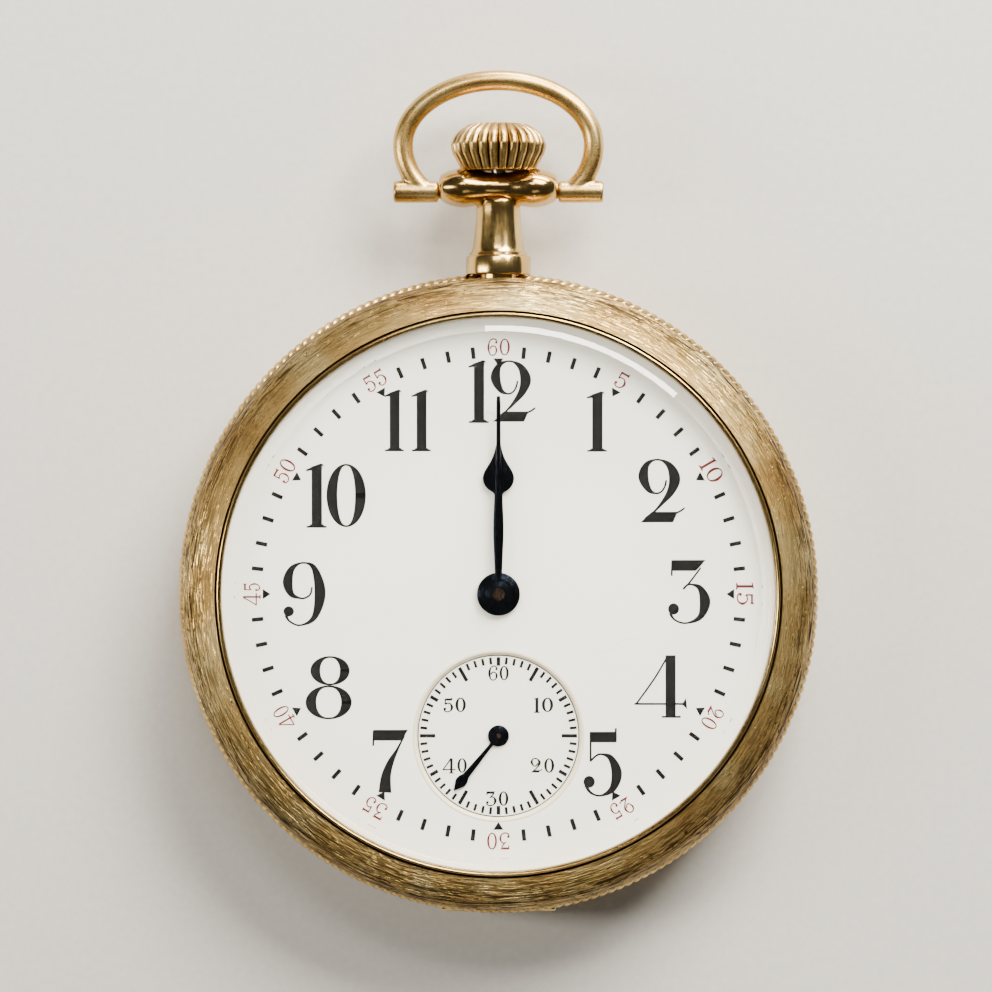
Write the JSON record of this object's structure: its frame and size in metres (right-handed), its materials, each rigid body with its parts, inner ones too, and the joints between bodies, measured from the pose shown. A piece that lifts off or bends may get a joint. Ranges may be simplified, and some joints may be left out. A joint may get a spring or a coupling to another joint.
{
  "type": "open face pocket watch",
  "caption": "Open face pocket watch with a snap bezel, hinged back, swinging bow, fluted crown, sunk seconds dial and a full stem-wound lever movement.",
  "frame": {"origin": "on the dial axis, at the flat of the back cover", "axes": "+Z out of the dial, +Y to twelve o'clock and the pendant, +X to three o'clock"},
  "size_m": [0.05, 0.0658, 0.0116],
  "materials": {
    "gold_filled": "engraved and polished, worn",
    "nickel_plate": "damaskeened nickel",
    "gilt_brass": "gilt",
    "blued_steel": "blued, polished",
    "ruby": "polished jewel",
    "enamel": "fired enamel on copper",
    "crystal_glass": "clear",
    "steel": "polished steel"
  },
  "bodies": {
    "case": {"case_center": "gold_filled", "hinge_pin": "gold_filled", "pendant": "gold_filled", "pendant_sleeve": "steel", "dial": "enamel", "seconds_dial": "enamel", "main_plate": "nickel_plate", "barrel_bridge": "nickel_plate", "train_bridge": "nickel_plate", "pallet_bridge": "nickel_plate", "balance_cock": "nickel_plate", "hairspring_stud": "steel", "hairspring": "steel", "train_jewels": "ruby", "bridge_screws": "steel", "case_screws": "steel", "click_spring": "steel"},
    "bezel": {"bezel": "gold_filled", "crystal": "crystal_glass"},
    "back_cover": {"back_cover": "gold_filled"},
    "bow": {"bow": "gold_filled"},
    "winding_pinion": {"winding_pinion": "steel"},
    "crown": {"crown": "gold_filled", "winding_stem": "steel"},
    "clutch": {"clutch_wheel": "steel"},
    "setting_lever": {"setting_lever": "steel"},
    "yoke": {"yoke": "steel"},
    "crown_wheel": {"crown_wheel": "steel", "crown_wheel_screw": "steel"},
    "ratchet": {"ratchet_wheel": "steel", "ratchet_screw": "steel", "barrel_arbor": "steel"},
    "click": {"click": "steel"},
    "barrel": {"barrel": "gilt_brass", "barrel_cover": "gilt_brass", "mainspring": "steel"},
    "center": {"center_pinion": "steel", "center_wheel": "gilt_brass"},
    "third": {"third_pinion": "steel", "third_wheel": "gilt_brass"},
    "fourth": {"fourth_pinion": "steel", "fourth_wheel": "gilt_brass", "seconds_hand": "blued_steel"},
    "escape": {"escape_pinion": "steel", "escape_wheel": "steel"},
    "minute": {"cannon_pinion": "steel", "minute_hand": "blued_steel"},
    "minute_wheel": {"minute_wheel": "gilt_brass"},
    "hour": {"hour_wheel": "gilt_brass", "hour_hand": "blued_steel"},
    "setting_wheel": {"setting_wheel": "steel"},
    "intermediate_wheel": {"intermediate_wheel": "steel"},
    "pallet_fork": {"pallet_fork": "steel", "pallet_stones": "ruby"},
    "balance": {"balance_wheel": "gilt_brass", "balance_screws": "gilt_brass", "balance_staff": "steel", "roller_table": "steel", "impulse_jewel": "ruby"},
    "regulator": {"regulator": "steel"}
  },
  "joints": [
    {"name": "bezel_lift", "type": "slide", "parent": "case", "child": "bezel", "axis": [0, 0, 1], "range_m": [0, 0.007]},
    {"name": "cover_swing", "type": "hinge", "parent": "case", "child": "back_cover", "pos_m": [0, -0.02445, 0.0039], "axis": [-1, 0, 0], "range_deg": [0, 100]},
    {"name": "bow_swing", "type": "hinge", "parent": "case", "child": "bow", "pos_m": [0, 0.03135, 0.0056], "axis": [1, 0, 0], "range_deg": [-120, 120]},
    {"name": "crown_turn", "type": "hinge", "parent": "case", "child": "winding_pinion", "pos_m": [0, 0.01904, 0.0056], "axis": [0, 1, 0], "continuous": true},
    {"name": "crown_pull", "type": "slide", "parent": "winding_pinion", "child": "crown", "axis": [0, 1, 0], "range_m": [0, 0.0008]},
    {"name": "clutch_slide", "type": "slide", "parent": "winding_pinion", "child": "clutch", "axis": [0, -1, 0], "range_m": [0, 0.00045]},
    {"name": "setting_lever_turn", "type": "hinge", "parent": "case", "child": "setting_lever", "pos_m": [0.0036, 0.01994, 0.0056], "axis": [0, 0, -1], "range_deg": [0, 12.74]},
    {"name": "yoke_turn", "type": "hinge", "parent": "case", "child": "yoke", "pos_m": [0.0042, 0.01746, 0.0056], "axis": [0, 0, 1], "range_deg": [0, 6.15]},
    {"name": "crown_wheel_turn", "type": "hinge", "parent": "case", "child": "crown_wheel", "pos_m": [0, 0.01584, 0.005], "axis": [0, 0, 1], "continuous": true},
    {"name": "ratchet_turn", "type": "hinge", "parent": "case", "child": "ratchet", "pos_m": [-0.00735, 0.00617, 0.005], "axis": [0, 0, 1], "continuous": true},
    {"name": "click_lift", "type": "hinge", "parent": "case", "child": "click", "pos_m": [0.0026, 0.0094, 0.00095], "axis": [0, 0, -1], "range_deg": [0, 10], "stiffness_Nm_per_rad": 0.00001},
    {"name": "minute_turn", "type": "hinge", "parent": "case", "child": "minute", "pos_m": [0, 0, 0.005], "axis": [0, 0, -1], "continuous": true},
    {"name": "center_turn", "type": "hinge", "parent": "case", "child": "center", "pos_m": [0, 0, 0.005], "axis": [0, 0, -1], "continuous": true},
    {"name": "barrel_turn", "type": "hinge", "parent": "case", "child": "barrel", "pos_m": [-0.00735, 0.00617, 0.005], "axis": [0, 0, -1], "continuous": true},
    {"name": "third_turn", "type": "hinge", "parent": "case", "child": "third", "pos_m": [-0.00094, -0.00577, 0.005], "axis": [0, 0, -1], "continuous": true},
    {"name": "fourth_turn", "type": "hinge", "parent": "case", "child": "fourth", "pos_m": [0, -0.011, 0.005], "axis": [0, 0, -1], "continuous": true},
    {"name": "escape_turn", "type": "hinge", "parent": "case", "child": "escape", "pos_m": [0.00433, -0.01024, 0.005], "axis": [0, 0, -1], "continuous": true},
    {"name": "minute_wheel_turn", "type": "hinge", "parent": "case", "child": "minute_wheel", "pos_m": [0, 0.00336, 0.005], "axis": [0, 0, -1], "continuous": true},
    {"name": "hour_turn", "type": "hinge", "parent": "case", "child": "hour", "pos_m": [0, 0, 0.005], "axis": [0, 0, -1], "continuous": true},
    {"name": "setting_wheel_turn", "type": "hinge", "parent": "case", "child": "setting_wheel", "pos_m": [0, 0.00798, 0.005], "axis": [0, 0, -1], "continuous": true},
    {"name": "intermediate_wheel_turn", "type": "hinge", "parent": "case", "child": "intermediate_wheel", "pos_m": [0, 0.01288, 0.005], "axis": [0, 0, -1], "continuous": true},
    {"name": "pallet_rock", "type": "hinge", "parent": "case", "child": "pallet_fork", "pos_m": [0.00664, -0.00798, 0.0039], "axis": [0, 0, 1], "range_deg": [-5, 5]},
    {"name": "balance_swing", "type": "hinge", "parent": "case", "child": "balance", "pos_m": [0.0098, -0.0049, 0.00265], "axis": [0, 0, 1], "range_deg": [-270, 270], "stiffness_Nm_per_rad": 0.0000024},
    {"name": "regulator_shift", "type": "hinge", "parent": "case", "child": "regulator", "pos_m": [0.0098, -0.0049, 0.00135], "axis": [0, 0, 1], "range_deg": [-20, 20]}
  ],
  "couplings": [
    {"joint": "clutch_slide", "follows": "crown_pull", "ratio": 0.5625},
    {"joint": "setting_lever_turn", "follows": "crown_pull", "rad_per_m": 277.78},
    {"joint": "yoke_turn", "follows": "crown_pull", "rad_per_m": 133.93},
    {"joint": "crown_wheel_turn", "follows": "crown_turn", "ratio": 0.375},
    {"joint": "ratchet_turn", "follows": "crown_turn", "ratio": -0.15},
    {"joint": "center_turn", "follows": "minute_turn", "ratio": 1},
    {"joint": "barrel_turn", "follows": "minute_turn", "ratio": -0.14286},
    {"joint": "third_turn", "follows": "minute_turn", "ratio": -8},
    {"joint": "fourth_turn", "follows": "minute_turn", "ratio": 60},
    {"joint": "escape_turn", "follows": "minute_turn", "ratio": -600},
    {"joint": "minute_wheel_turn", "follows": "minute_turn", "ratio": -0.33333},
    {"joint": "hour_turn", "follows": "minute_turn", "ratio": 0.083333},
    {"joint": "setting_wheel_turn", "follows": "minute_turn", "ratio": 0.4},
    {"joint": "intermediate_wheel_turn", "follows": "minute_turn", "ratio": -0.3}
  ]
}
